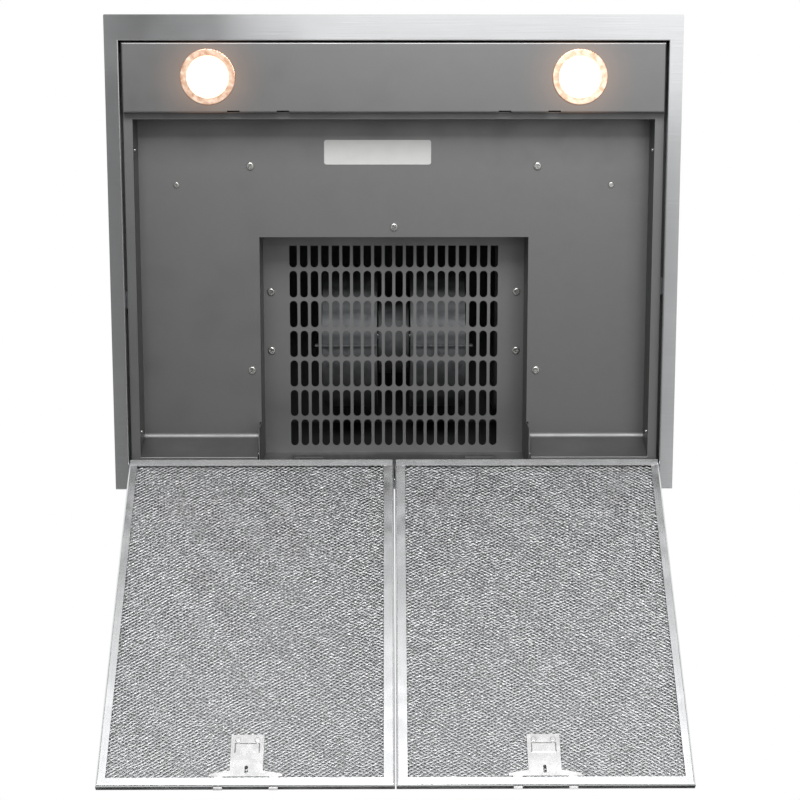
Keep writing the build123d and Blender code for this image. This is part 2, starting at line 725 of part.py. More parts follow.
def flue_upper():
    cover = flue(UPPER_INSET, -1.8, UPPER_BOTTOM, UPPER_TOP)
    for row in range(SLOT_ROWS):
        z = 632 - row * 48
        for number in range(SLOTS_PER_ROW):
            y = -230 + number * 22
            slot = Pos(0, y, z) * Box(FLUE_W + 20, 5, 34)
            cover -= slot
    return cover


def ceiling_bracket():
    half = FLUE_W / 2 - UPPER_INSET - SHEET
    rear = -1.8 - SHEET
    strap = block(-half, half, rear - 2, rear, 640, 658)
    for ear in both_sides(block(half - 2, half, -32, rear, 640, 658)):
        strap += ear
    for hole in both_sides(rod_y(3, -20, 5, 60, 649)):
        strap -= hole
    return strap


# Grease filters, drawn closed on the right-hand side


def swing_open(piece):
    """Turns a closed filter piece about the hinge pins to the open rest pose."""
    return piece.rotate(Axis((0, HINGE_Y, HINGE_Z), (1, 0, 0)), FILTER_OPEN)


def filter_pieces(piece):
    """The open right-hand piece, and the same for the left-hand filter."""
    opened = swing_open(piece)
    return {"right": opened, "left": mirror(opened, Plane.YZ)}


def frame_body():
    """Four rails with rounded edges, a step down to the mesh and a hinge rail that falls to the rear."""
    low, high = FILTER_LOW, FILTER_LOW + FILTER_THICK
    body = block(FILTER_IN, FILTER_OUT, FILTER_FRONT, FILTER_REAR, low, high)
    body = fillet([e for e in body.edges() if e.center().Z > high - 0.1], RIM_ROUND)
    body = fillet([e for e in body.edges() if e.center().Z < low + 0.1], RIM_FACE_ROUND)
    x0, x1 = FILTER_IN + RIM_W_INNER, FILTER_OUT - RIM_W
    y0, y1 = FILTER_FRONT + RIM_W, FILTER_REAR - RIM_W
    rear, fallen = FILTER_REAR + 0.1, high - HINGE_RAIL_FALL
    above = [(y1, high), (rear, fallen), (rear, high + 1), (y1, high + 1)]
    body -= side_profile(above, FILTER_IN - 1, FILTER_OUT + 1)
    body -= block(x0 - LIP_W, x1 + LIP_W, y0 - LIP_W, y1, high - LIP_STEP, high + 1)
    return body - block(x0, x1, y0, y1, low - 1, high + 1)


def filter_frame():
    low, t = FILTER_LOW, PROFILE_T
    roof = FILTER_LOW + FILTER_THICK - LIP_STEP - t
    body = frame_body()
    body -= block(FILTER_IN + t, FILTER_OUT - t, FILTER_FRONT + t, FILTER_REAR - t, low + t, roof)
    for step in (-TAB_SPREAD, TAB_SPREAD):
        x = LATCH_X + step
        half = TAB_W / 2 + 0.4
        z0 = plate_low() - TAB_DROP - GAP
        body -= block(x - half, x + half, FILTER_FRONT - 1, FILTER_FRONT + 2, z0, roof)
    body -= rod_x(PIN_R + PIN_FIT, FILTER_IN - 1, FILTER_IN + 2, HINGE_Y, HINGE_Z)
    return body - rod_x(PIN_R, FILTER_OUT - 2, FILTER_OUT + 1, HINGE_Y, HINGE_Z)


def plate_low():
    """Underside of the latch plate, just above the mesh."""
    return FILTER_LOW + PROFILE_T + MESH_T + GAP


def filter_mesh():
    x0, x1 = FILTER_IN + MESH_INSET, FILTER_OUT - MESH_INSET
    y0, y1 = FILTER_FRONT + MESH_INSET, FILTER_REAR - MESH_INSET_REAR
    low = FILTER_LOW + PROFILE_T
    pad = block(x0, x1, y0, y1, low, low + MESH_T)
    for x in (LATCH_X - RIVET_X, LATCH_X + RIVET_X):
        pad -= block(x - 2.2, x + 2.2, RIVET_Y - 2.5, RIVET_Y + LATCH_TRAVEL + 2.5, 0, 10)
    pad -= rod_z(1.3, 0, 10, LATCH_X, GUIDE_Y)
    for x in (LATCH_X - TAB_SPREAD, LATCH_X + TAB_SPREAD):
        half = TAB_W / 2 + TAB_CLEARANCE
        floor = plate_low() - TAB_DROP - TAB_CLEARANCE
        pad -= block(x - half, x + half, y0 - 1, y0 + LATCH_TRAVEL, floor, 10)
    pocket_low = low + 0.8
    return pad - block(LATCH_X - 7, LATCH_X + 7, -371, -351, pocket_low, 10)


def latch_plate():
    low = plate_low()
    high = low + PLATE_T
    x = LATCH_X
    root, tip_y = PLATE_FOOT_Y + WING_ROOT, PLATE_FOOT_Y + WING_TIP
    points = [
        (x - PLATE_BASE, PLATE_FOOT_Y), (x - PLATE_BASE, tip_y), (x - PLATE_HALF, root),
        (x - PLATE_HALF, PLATE_TOP_Y), (x + PLATE_HALF, PLATE_TOP_Y), (x + PLATE_HALF, root),
        (x + PLATE_BASE, tip_y), (x + PLATE_BASE, PLATE_FOOT_Y),
    ]
    plate = plan_profile(points, low, high)
    tab_end = FILTER_FRONT - TAB_OUT
    for step in (-TAB_SPREAD, TAB_SPREAD):
        plate += block(x + step - TAB_W / 2, x + step + TAB_W / 2, tab_end + 1.5, PLATE_FOOT_Y, low, high)
        tip = Rot(25, 0, 0) * Box(TAB_W, 2.2, PLATE_T)
        plate += Pos(x + step, tab_end + 1.1, high - 0.75) * tip
    plate += Pos(x, EMBOSS_Y, high) * extrude(Rectangle(EMBOSS_W, EMBOSS_L), EMBOSS_H, taper=EMBOSS_SLOPE)
    plate += block(x - 5, x + 5, -370.2, -369, low - 2.4, low)
    slot = Pos(x, GUIDE_SLOT_Y, low - 1) * Rot(0, 0, 90) * extrude(SlotOverall(GUIDE_SLOT_L, 3.2), 3)
    plate -= slot
    for step in (-RIVET_X, RIVET_X):
        plate -= rod_z(1.5, 0, 10, x + step, RIVET_Y)
    return plate


def latch_grip():
    """Finger plate on the outer face, with a raised bar to pull on."""
    high = FILTER_LOW + PROFILE_T - GAP
    x = LATCH_X
    plate = block(x - 24, x + 24, -372.5, -339.5, high - 1.0, high)
    plate = fillet(plate.edges().filter_by(Axis.Z), 4)
    window = block(x - 16, x + 16, -368.5, -355.5, -2, 2)
    bar = block(x - 20, x + 20, -354.5, -352, high - 3.0, high - 0.9)
    return cut_all(plate - window + bar, [rod_z(1.5, -5, 5, x + s, RIVET_Y) for s in (-RIVET_X, RIVET_X)])


def latch_rivets():
    low = FILTER_LOW + PROFILE_T - GAP - 1.0
    high = plate_low() + PLATE_T
    rivets = []
    for step in (-RIVET_X, RIVET_X):
        x = LATCH_X + step
        head = rod_z(RIVET_HEAD_R, high, high + RIVET_HEAD_H, x, RIVET_Y)
        head = fillet(head.edges().sort_by(Axis.Z)[-1], RIVET_HEAD_H - 0.1)
        foot = rod_z(RIVET_HEAD_R, low - 0.7, low, x, RIVET_Y)
        rivets.append(head + rod_z(1.5, low, high, x, RIVET_Y) + foot)
    return rivets


def filter_pins():
    """The outer hinge pin with its inner head, and the guide pin of the latch."""
    web = PROFILE_T
    outer = rod_x(PIN_R, FILTER_OUT - web, FILTER_OUT + 2.2, HINGE_Y, HINGE_Z)
    outer += rod_x(2.4, FILTER_OUT - web - 0.8, FILTER_OUT - web, HINGE_Y, HINGE_Z)
    low = FILTER_LOW + PROFILE_T
    guide = rod_z(1.3, low, plate_low() + PLATE_T + 0.2, LATCH_X, GUIDE_Y)
    guide += rod_z(3, low - 0.6, low, LATCH_X, GUIDE_Y)
    return outer, guide


def latch_spring():
    """A flat strip folded in a zigzag that pushes the latch outward."""
    low = FILTER_LOW + PROFILE_T + 1.1
    start, end, folds, reach = -351.2, -368.8, 8, 4.6
    points = []
    for fold in range(folds + 1):
        y = start + (end - start) * fold / folds
        side = 1 if fold % 2 else -1
        points.append((LATCH_X + side * reach, y))
    strip = trace(Polyline(*points), 0.5)
    return Pos(0, 0, low) * extrude(strip, 2.2)


def hinge_plate():
    """The middle bearing, welded to the rear rim, with the stud on which both filters turn."""
    half = HINGE_PLATE_T / 2
    plate = block(-half, half, -30, -RIM_REAR, 1, LIP_H - 1.5)
    return plate + rod_x(PIN_R, -STUD_HALF, STUD_HALF, HINGE_Y, HINGE_Z)


def build_fixed():
    save("canopy_shell", canopy_shell())
    save("canopy_back", canopy_back())
    save("hanging_rail", hanging_rail())
    save("inner_liner", inner_liner())
    save("liner_sides", *both_sides(liner_side()))
    save("blower_bay", blower_bay())
    save("blower_grille", blower_grille())
    screws = [(x, y, PANEL_Z) for x, y in screw_places()] + [(x, y, GRILLE_Z) for x, y in GRILLE_SCREWS]
    save("sheet_screws", *[cross_screw(x, y, z, 25 * turn) for turn, (x, y, z) in enumerate(screws)])
    save("liner_rivets", *liner_rivets())
    save("rail_clips", *rail_clips())
    save("rating_plate", rating_plate())
    save("hinge_plate", hinge_plate())
    save("light_panel", light_panel())
    save("lamp_bezels", lamp_bezel(LAMP_X), lamp_bezel(-LAMP_X))
    save("lamp_glasses", lamp_glass(LAMP_X), lamp_glass(-LAMP_X))
    save("lamp_housings", lamp_housing(LAMP_X), lamp_housing(-LAMP_X))
    save("terminal_box", terminal_box())
    save("lamp_driver", lamp_driver())
    save("capacitor", capacitor())
    save("cable_gland", cable_gland())
    save("wiring", *wiring())
    save("control_fascia", control_fascia())
    save("control_housing", control_housing())
    save("control_board", control_board())


def build_blower():
    save("blower_box", blower_box())
    save("scroll_right", scroll())
    save("scroll_left", mirror(scroll(), Plane.YZ))
    save("impeller_right", impeller())
    save("impeller_left", mirror(impeller(), Plane.YZ))
    save("fan_shaft", fan_shaft())
    save("motor_case", motor_case())
    save("motor_stator", motor_stator())
    save("motor_rotor", motor_rotor())
    save("outlet_plenum", outlet_plenum())
    save("duct_collar", duct_collar())
    save("flap_pins", *flap_pins())
    save("flap_front", flap(-1))
    save("flap_rear", flap(1))


def build_flue():
    save("flue_lower", flue(0, 0, PYRAMID_TOP, FLUE_TOP))
    save("flue_upper", flue_upper())
    save("ceiling_bracket", ceiling_bracket())


def build_filters():
    single = {
        "filter_frame": filter_frame(),
        "filter_mesh": filter_mesh(),
        "latch_plate": latch_plate(),
        "latch_grip": latch_grip(),
        "latch_spring": latch_spring(),
    }
    for name, piece in single.items():
        for side, placed in filter_pieces(piece).items():
            save(f"{name}_{side}", placed)
    for name, group in (("latch_rivets", latch_rivets()), ("filter_pins", filter_pins())):
        placed = [filter_pieces(piece) for piece in group]
        for side in ("left", "right"):
            save(f"{name}_{side}", *[p[side] for p in placed])


def build_buttons():
    for index, name in enumerate(BUTTON_NAMES):
        save(f"button_{name}", push_button(index))


build_fixed()
build_blower()
build_flue()
build_filters()
build_buttons()

opened = radians(FILTER_OPEN)
reach = FILTER_FRONT - HINGE_Y
end_y, end_z = HINGE_Y + reach * cos(opened), HINGE_Z + reach * sin(opened)
print("free end of the open filters: y", round(end_y, 1), "z", round(end_z, 1))
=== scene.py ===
# Wall mount range hood: materials, formed filters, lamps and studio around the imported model.
import json
import random
from math import cos, pi, radians, sin, tan

import bpy
from mathutils import Matrix, Vector


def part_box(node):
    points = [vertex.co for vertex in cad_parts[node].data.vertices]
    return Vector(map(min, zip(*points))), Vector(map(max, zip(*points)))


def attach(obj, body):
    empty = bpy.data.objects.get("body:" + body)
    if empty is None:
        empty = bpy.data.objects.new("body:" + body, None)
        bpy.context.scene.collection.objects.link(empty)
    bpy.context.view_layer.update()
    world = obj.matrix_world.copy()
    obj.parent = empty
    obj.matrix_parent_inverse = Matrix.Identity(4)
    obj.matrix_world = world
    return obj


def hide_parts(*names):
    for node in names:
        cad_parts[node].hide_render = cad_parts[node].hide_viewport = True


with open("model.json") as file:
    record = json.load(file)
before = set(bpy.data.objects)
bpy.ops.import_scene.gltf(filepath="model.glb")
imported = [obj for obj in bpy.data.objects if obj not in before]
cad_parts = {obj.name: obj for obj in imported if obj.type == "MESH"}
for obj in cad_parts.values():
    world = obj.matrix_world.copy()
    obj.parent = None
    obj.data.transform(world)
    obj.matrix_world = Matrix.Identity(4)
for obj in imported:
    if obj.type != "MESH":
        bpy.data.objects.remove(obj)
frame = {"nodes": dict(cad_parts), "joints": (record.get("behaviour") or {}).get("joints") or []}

bl_info = {
    "name": "Wall mount range hood",
    "version": (1, 0, 0),
    "blender": (4, 5, 0),
    "location": "3D View > Sidebar > Range hood",
    "description": "Dresses the hood's packed model with formed filters, finishes, lamps and a studio",
    "category": "Add Mesh",
}

MM = 0.001
SIDES = ("left", "right")
BUTTONS = ("lamp", "off", "low", "medium", "high")


# Colours and nodes


def linear(code):
    """An sRGB hex colour such as #C8C9CA as linear red, green and blue."""
    levels = [int(code[start:start + 2], 16) / 255 for start in (1, 3, 5)]
    return tuple(v / 12.92 if v <= 0.04045 else ((v + 0.055) / 1.055) ** 2.4 for v in levels)


def node(tree, kind, inputs=(), **settings):
    """Adds a node with its settings, and fills or links its inputs."""
    made = tree.nodes.new(kind)
    for name, value in settings.items():
        setattr(made, name, value)
    for name, value in dict(inputs).items():
        if isinstance(value, bpy.types.NodeSocket):
            tree.links.new(value, made.inputs[name])
        else:
            made.inputs[name].default_value = value
    return made


def start_material(name, metallic, roughness, ior=None):
    """A new material with its Principled shader, and its object coordinates in metres."""
    material = bpy.data.materials.new(name)
    material.use_nodes = True
    tree = material.node_tree
    shader = tree.nodes["Principled BSDF"]
    shader.inputs["Metallic"].default_value = metallic
    shader.inputs["Roughness"].default_value = roughness
    if ior:
        shader.inputs["IOR"].default_value = ior
    place = node(tree, "ShaderNodeTexCoord").outputs["Object"]
    return material, tree, shader, place


def grain(tree, place, size_mm, detail=2.0, seed=0.0):
    """Noise whose grains have the given size in mm along X, Y and Z."""
    scale = [1 / (length * MM) for length in size_mm]
    mapped = node(tree, "ShaderNodeMapping", {"Vector": place, "Scale": scale, "Location": [seed] * 3})
    inputs = {"Vector": mapped.outputs["Vector"], "Scale": 1.0, "Detail": detail}
    return node(tree, "ShaderNodeTexNoise", inputs).outputs["Fac"]


def spread(tree, value, low, high, from_low=0.3, from_high=0.7):
    """The value moved to a new range."""
    inputs = {"Value": value, "From Min": from_low, "From Max": from_high, "To Min": low, "To Max": high}
    return node(tree, "ShaderNodeMapRange", inputs).outputs["Result"]


def tone(tree, value, dark, light):
    """A colour between a dark and a light one."""
    inputs = {0: value, 6: (*dark, 1), 7: (*light, 1)}
    return node(tree, "ShaderNodeMix", inputs, data_type="RGBA").outputs[2]


def shade(colour, factor):
    """A linear colour made lighter or darker."""
    return tuple(min(1.0, level * factor) for level in colour)


def finish_surface(tree, shader, colour=None, roughness=None, height=None, depth_mm=0.0):
    """Links what varies over the surface into its shader."""
    if colour is not None:
        tree.links.new(colour, shader.inputs["Base Color"])
    if roughness is not None:
        tree.links.new(roughness, shader.inputs["Roughness"])
    if height is not None:
        bump = node(tree, "ShaderNodeBump", {"Height": height, "Distance": depth_mm * MM})
        tree.links.new(bump.outputs["Normal"], shader.inputs["Normal"])


# Materials


def brushed_stainless(settings, lay):
    """Stainless steel sheet brushed on a belt: long fine lines that stretch highlights across them."""
    material, tree, shader, place = start_material(f"brushed_stainless_{lay}", 1.0, settings.steel_roughness)
    # Belt lines are about 0.1 mm apart, drawn here at 0.7 mm so that they show
    line, length = 0.7, 90.0
    size = {"x": (length, line, line), "y": (line, length, line), "z": (line, line, length)}[lay]
    lines = grain(tree, place, size, 3.0)
    cloud = grain(tree, place, (70, 70, 70), 2.0, 4.0)
    colour = tone(tree, spread(tree, lines, 0, 1), shade(settings.steel, 0.93), shade(settings.steel, 1.05))
    rough = spread(tree, cloud, settings.steel_roughness - 0.03, settings.steel_roughness + 0.04)
    finish_surface(tree, shader, colour, rough, lines, 0.012)
    return material


def satin_steel(name, colour, roughness=0.5):
    """Steel sheet with a fine ground face under a thin clear lacquer: a broad soft sheen, slightly cloudy."""
    material, tree, shader, place = start_material(name, 1.0, roughness)
    peel = grain(tree, place, (1.6, 1.6, 1.6), 2.0)
    cloud = grain(tree, place, (42, 42, 42), 3.0, 2.0)
    shades = tone(tree, spread(tree, cloud, 0, 1), shade(colour, 0.95), shade(colour, 1.05))
    rough = spread(tree, cloud, roughness + 0.05, roughness - 0.05)
    finish_surface(tree, shader, shades, rough, peel, 0.02)
    return material


def galvanised_sheet(name, colour, spangle_mm=9.0, dulled=0.0):
    """Hot dip galvanised sheet: zinc crystals, each with its own grey and sheen, which weather dull."""
    material, tree, shader, place = start_material(name, 0.85, 0.4)
    inputs = {"Vector": place, "Scale": 1 / (spangle_mm * MM)}
    flakes = node(tree, "ShaderNodeTexVoronoi", inputs)
    level = node(tree, "ShaderNodeSeparateColor", {"Color": flakes.outputs["Color"]}).outputs["Red"]
    fine = grain(tree, place, (2, 2, 2), 3.0)
    colour = tone(tree, level, shade(colour, 0.75), shade(colour, 1.15))
    rough = spread(tree, level, 0.32 + dulled, 0.5 + dulled, 0, 1)
    finish_surface(tree, shader, colour, rough, fine, 0.02)
    return material


def powder_coat(name, colour):
    """Baked powder coat on steel: a fine orange peel that breaks up highlights."""
    material, tree, shader, place = start_material(name, 0.0, 0.6, 1.5)
    peel = grain(tree, place, (2.2, 2.2, 2.2), 2.0)
    shades = tone(tree, spread(tree, peel, 0, 1), shade(colour, 0.9), colour)
    finish_surface(tree, shader, shades, spread(tree, peel, 0.55, 0.65), peel, 0.02)
    return material


def rolled_aluminium(settings, name, lay):
    """Roll formed aluminium strip: bright mill finish with faint lines along each rail."""
    material, tree, shader, place = start_material(name, 1.0, settings.frame_roughness)
    size = (60, 0.9, 0.9) if lay == "x" else (0.9, 60, 60)
    lines = grain(tree, place, size, 3.0)
    cloud = grain(tree, place, (25, 25, 25), 3.0, 3.0)
    colour = tone(tree, spread(tree, lines, 0, 1), shade(settings.aluminium, 0.95), settings.aluminium)
    rough = spread(tree, cloud, settings.frame_roughness - 0.04, settings.frame_roughness + 0.05)
    finish_surface(tree, shader, colour, rough, lines, 0.012)
    return material


def expanded_foil(settings, name, level):
    """Slit and stretched aluminium foil: strands duller or brighter at random, with painted shade that greys
    the foil towards the hinge.
    """
    material, tree, shader, place = start_material(name, 1.0, 0.3)
    torn = grain(tree, place, (1.7, 1.7, 1.7), 2.0)
    # The level darkens the deeper layers as painted shade.
    base = shade(settings.mesh, level)
    # Painted shade: the foil's colour darkens from the free end towards the hinge.
    height = node(tree, "ShaderNodeSeparateXYZ", {"Vector": place}).outputs["Z"]
    free = spread(tree, height, 1, 0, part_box("filter_mesh_left")[0].z, 0.0)
    (dull_at_shaded_hinge, dull_free), (bright_at_shaded_hinge, bright_free) = settings.dull_foil_hinge_shade, settings.bright_foil_hinge_shade
    dull = tone(tree, free, shade(base, dull_at_shaded_hinge), shade(base, dull_free))
    bright = tone(tree, free, shade(base, bright_at_shaded_hinge), shade(base, bright_free))
    mix = {0: spread(tree, torn, 0, 1), 6: dull, 7: bright}
    colour = node(tree, "ShaderNodeMix", mix, data_type="RGBA").outputs[2]
    finish_surface(tree, shader, colour, spread(tree, torn, 0.52, 0.38))
    return material


def pressed_steel(name, colour, roughness=0.24):
    """Cold pressed bright steel: smooth, with faint drawing marks."""
    material, tree, shader, place = start_material(name, 1.0, roughness)
    marks = grain(tree, place, (9, 9, 9), 2.0)
    shades = tone(tree, spread(tree, marks, 0, 1), shade(colour, 0.97), shade(colour, 1.02))
    finish_surface(tree, shader, shades, spread(tree, marks, roughness + 0.05, roughness - 0.03))
    return material


def zinc_plate(name, colour):
    """Bright zinc plating on turned or headed steel: a cool shine with small cloudy spots."""
    material, tree, shader, place = start_material(name, 1.0, 0.25)
    spots = grain(tree, place, (1.5, 1.5, 1.5), 2.0)
    shades = tone(tree, spread(tree, spots, 0, 1), shade(colour, 0.9), shade(colour, 1.05))
    finish_surface(tree, shader, shades, spread(tree, spots, 0.2, 0.34), spots, 0.01)
    return material


def label_film(settings):
    """Blank satin polyester label: a pale even grey with hardly any gloss."""
    material, tree, shader, place = start_material("label_film", 0.0, 0.5, 1.5)
    fibre = grain(tree, place, (12, 12, 12), 3.0)
    shades = tone(tree, spread(tree, fibre, 0, 1), shade(settings.label, 0.97), shade(settings.label, 1.02))
    finish_surface(tree, shader, shades, spread(tree, fibre, 0.46, 0.56))
    return material


def moulded_plastic(name, colour, roughness=0.45):
    """Injection moulded ABS with a fine spark eroded texture."""
    material, tree, shader, place = start_material(name, 0.0, roughness, 1.53)
    pits = grain(tree, place, (0.8, 0.8, 0.8), 2.0)
    shades = tone(tree, spread(tree, pits, 0, 1), shade(colour, 0.9), shade(colour, 1.1))
    finish_surface(tree, shader, shades, spread(tree, pits, roughness - 0.05, roughness + 0.08), pits, 0.02)
    return material


def circuit_laminate():
    """Glass fibre laminate under green solder resist: glossy, with the weave just showing."""
    material, tree, shader, place = start_material("circuit_laminate", 0.0, 0.3, 1.5)
    weave = grain(tree, place, (0.7, 0.7, 0.7), 1.0)
    shades = tone(tree, spread(tree, weave, 0, 1), linear("#123F22"), linear("#1B5A31"))
    finish_surface(tree, shader, shades, spread(tree, weave, 0.25, 0.4))
    return material


def laminated_core(name, colour):
    """Stacked motor laminations: thin dark plates with a line between each."""
    material, tree, shader, place = start_material(name, 0.8, 0.5)
    plates = grain(tree, place, (0.5, 60, 60), 1.0)
    shades = tone(tree, spread(tree, plates, 0, 1), shade(colour, 0.7), shade(colour, 1.2))
    finish_surface(tree, shader, shades, None, plates, 0.03)
    return material


def from_either_lamp(tree, place, centre):
    """How far a point is from the nearer of the two lamps, which stand on both sides of the middle."""
    folded = node(tree, "ShaderNodeVectorMath", {0: place}, operation="ABSOLUTE")
    corner = tuple(abs(value) for value in centre)
    inputs = {0: folded.outputs["Vector"], 1: corner}
    return node(tree, "ShaderNodeVectorMath", inputs, operation="DISTANCE").outputs["Value"]


def lit_nickel(settings, centre):
    """Satin nickel lamp ring with painted lamp light: a peach glow with amber blotches, and a painted shadow
    line at its outer edge.
    """
    material, tree, shader, place = start_material("lit_satin_nickel", 1.0, 0.3)
    away = from_either_lamp(tree, place, centre)
    cloud = grain(tree, place, (6, 6, 6), 3.0)
    lamp_light_blotches = tone(tree, spread(tree, cloud, 0, 1, 0.35, 0.65), settings.amber_lamp_light, settings.lamp_ring)
    # Painted shadow: a dark amber line along the ring's outer edge.
    edge = spread(tree, away, 0, 1, *settings.ring_shadow_line)
    line = (*shade(settings.amber_lamp_light, 0.3), 1)
    colour = node(tree, "ShaderNodeMix", {0: edge, 6: lamp_light_blotches, 7: line}, data_type="RGBA").outputs[2]
    tree.links.new(colour, shader.inputs["Emission Color"])
    shader.inputs["Emission Strength"].default_value = settings.ring_glow
    finish_surface(tree, shader, colour, spread(tree, cloud, 0.25, 0.36), cloud, 0.01)
    return material


def warm_halo(settings, material, centre):
    """The glow of a lit lamp on the sheet around it, which fades over a few centimetres."""
    tree = material.node_tree
    shader = tree.nodes["Principled BSDF"]
    place = node(tree, "ShaderNodeTexCoord").outputs["Object"]
    near = spread(tree, from_either_lamp(tree, place, centre), 1, 0, *settings.halo_reach)
    fade = node(tree, "ShaderNodeMath", {0: near, 1: settings.halo_falloff}, operation="POWER")
    shader.inputs["Emission Color"].default_value = (*settings.halo, 1)
    tree.links.new(fade.outputs["Value"], shader.inputs["Emission Strength"])


def lit_frosted_glass(settings, centre):
    """Frosted lamp glass, lit from behind: white hot in the middle and warmer towards its rim."""
    name = "lit_frosted_glass_" + ("left" if centre.x < 0 else "right")
    material, tree, shader, place = start_material(name, 0.0, 0.35, 1.5)
    away = node(tree, "ShaderNodeVectorMath", {0: place, 1: centre}, operation="DISTANCE")
    reach = spread(tree, away.outputs["Value"], 0, 1, *settings.core_edge)
    edge = shade(settings.lamp_edge, settings.edge_glow / settings.lamp_strength)
    glow = tone(tree, reach, settings.lamp_core, edge)
    frost = grain(tree, place, (1.1, 1.1, 1.1), 2.0)
    shader.inputs["Base Color"].default_value = (*linear("#EDE8DD"), 1)
    shader.inputs["Emission Strength"].default_value = settings.lamp_strength
    tree.links.new(glow, shader.inputs["Emission Color"])
    finish_surface(tree, shader, None, spread(tree, frost, 0.3, 0.42), frost, 0.03)
    return material


def dress(material, *names):
    """Gives CAD nodes a material."""
    for name in names:
        slots = frame["nodes"][name].data.materials
        slots.clear()
        slots.append(material)


# Meshes


def mesh_piece(name, points, faces, materials, matrix=None, picks=None):
    """A new mesh object from points in metres, placed by a matrix."""
    mesh = bpy.data.meshes.new(name)
    mesh.from_pydata([tuple(p) for p in points], [], faces)
    for material in materials:
        mesh.materials.append(material)
    if picks:
        mesh.polygons.foreach_set("material_index", picks)
    if matrix:
        mesh.transform(matrix)
    mesh.update()
    made = bpy.data.objects.new(name, mesh)
    bpy.context.scene.collection.objects.link(made)
    return made


def joint_named(name):
    return next(joint for joint in frame["joints"] if joint["name"] == name)


def opening_turn(side):
    """The matrix that swings a filter from closed to the open pose in which the frame holds it."""
    joint = joint_named(f"filter_{side}_hinge")
    turn = Matrix.Rotation(radians(-joint["range_deg"][0]), 4, Vector(joint["axis"]))
    pivot = Matrix.Translation(Vector(joint["pos_m"]))
    return pivot @ turn @ pivot.inverted()


def closed_box(name, side):
    """Lowest and highest corner of a filter's node with the filter closed."""
    closing = opening_turn(side).inverted()
    corners = [closing @ v.co for v in frame["nodes"][name].data.vertices]
    low = Vector([min(c[axis] for c in corners) for axis in range(3)])
    high = Vector([max(c[axis] for c in corners) for axis in range(3)])
    return low, high


# Grease filters


def dress_frame(side, along_x, along_y):
    """Gives each rail of a filter frame the lay of its own rolling direction."""
    name = f"filter_frame_{side}"
    low, high = closed_box(name, side)
    rails = frame["nodes"][name]
    rails.data.materials.clear()
    rails.data.materials.append(along_x)
    rails.data.materials.append(along_y)
    back = opening_turn(side).inverted()
    for face in rails.data.polygons:
        place = back @ face.center
        across = min(place.x - low.x, high.x - place.x)
        along = min(place.y - low.y, high.y - place.y)
        face.material_index = 0 if along < across else 1


def warp(x, y, waves):
    """How far the foil has been pulled out of true at a point, in its plane and across it."""
    swell = [sin(x * a + y * b + c) for a, b, c in waves]
    return swell[0] + swell[1], swell[2] - swell[1], swell[0] - swell[2]


def strand_line(settings, origin, line, knots, turn_deg, draw):
    """One zigzag strand of expanded foil as points in its layer's plane."""
    half_cell, bond = settings.cell_length / 2, settings.bond_length
    turn_cos, turn_sin = cos(radians(turn_deg)), sin(radians(turn_deg))
    swing = (settings.cell_width - settings.strand_width) / 4
    loose = settings.strand_slack
    run = []
    for knot in range(knots):
        side = swing if (knot + line) % 2 else -swing
        for end in (-bond / 2, bond / 2):
            u = origin[0] + side + draw.uniform(-loose, loose)
            v = origin[1] + knot * half_cell + end + draw.uniform(-loose, loose)
            run.append((u * turn_cos - v * turn_sin, u * turn_sin + v * turn_cos))
    return run


def foil_layer(settings, low, high, z, turn_deg, seed, across):
    """One layer of expanded foil as closed three sided strands, which run along X where it lies across."""
    draw = random.Random(seed)
    width, length = high.x - low.x, high.y - low.y
    if across:
        width, length = length, width
    centre_x, centre_y = (low.x + high.x) / 2, (low.y + high.y) / 2
    pitch = settings.cell_width / 2
    lean = abs(tan(radians(turn_deg)))
    reach = (width + length * lean) / 2 + pitch
    knots = int((length + width * lean) / (settings.cell_length / 2)) + 3
    start = -knots * settings.cell_length / 4
    half, rise, pull = settings.strand_width / 2, settings.strand_rise, settings.foil_pull
    stray, slip = settings.strand_stray, settings.strand_slip
    waves = [(draw.uniform(50, 130), draw.uniform(50, 130), draw.uniform(0, 6)) for _ in range(3)]
    points, faces = [], []
    for number in range(int(2 * reach / pitch) + 1):
        kept = []
        origin = (-reach + number * pitch + draw.uniform(-stray, stray), start + draw.uniform(-slip, slip))
        for u, v in strand_line(settings, origin, number, knots, turn_deg, draw):
            x, y = (centre_x + v, centre_y + u) if across else (centre_x + u, centre_y + v)
            shift_x, shift_y, lift = warp(x, y, waves)
            x, y = x + shift_x * pull, y + shift_y * pull
            if low.x + half < x < high.x - half and low.y + half < y < high.y - half:
                kept.append((x, y, z + lift * settings.foil_ripple))
        if len(kept) < 3:
            continue
        base = len(points)
        side_x, side_y = (0, -half) if across else (half, 0)
        for x, y, height in kept:
            points += [(x - side_x, y - side_y, height), (x + side_x, y + side_y, height)]
            points.append((x, y, height + rise))
        for k in range(len(kept) - 1):
            a, b = base + 3 * k, base + 3 * k + 3
            faces += [(a, a + 1, b + 1, b), (a + 1, a + 2, b + 2, b + 1), (a + 2, a, b, b + 2)]
        last = base + 3 * (len(kept) - 1)
        faces += [(base + 2, base + 1, base), (last, last + 1, last + 2)]
    return points, faces


def filter_foil(settings, side, materials):
    """The mesh pad: two foil layers over a core of crushed layers."""
    low, high = closed_box(f"filter_mesh_{side}", side)
    ripple = 2 * settings.foil_ripple
    top = high.z - settings.strand_rise - ripple
    core_low, core_high = low.z + 0.3 * MM, low.z + 0.55 * (high.z - low.z)
    sign = -1 if side == "left" else 1
    layers = [
        foil_layer(settings, low, high, top, 2 * sign, 11, True),
        foil_layer(settings, low, high, top - settings.layer_gap, 24 * sign, 12, False),
        crushed_core(low, high, core_low, core_high),
    ]
    points, faces, picks = [], [], []
    for number, (layer_points, layer_faces) in enumerate(layers):
        faces += [tuple(k + len(points) for k in face) for face in layer_faces]
        points += layer_points
        picks += [number] * len(layer_faces)
    return mesh_piece(f"filter_foil_{side}", points, faces, materials, opening_turn(side), picks)


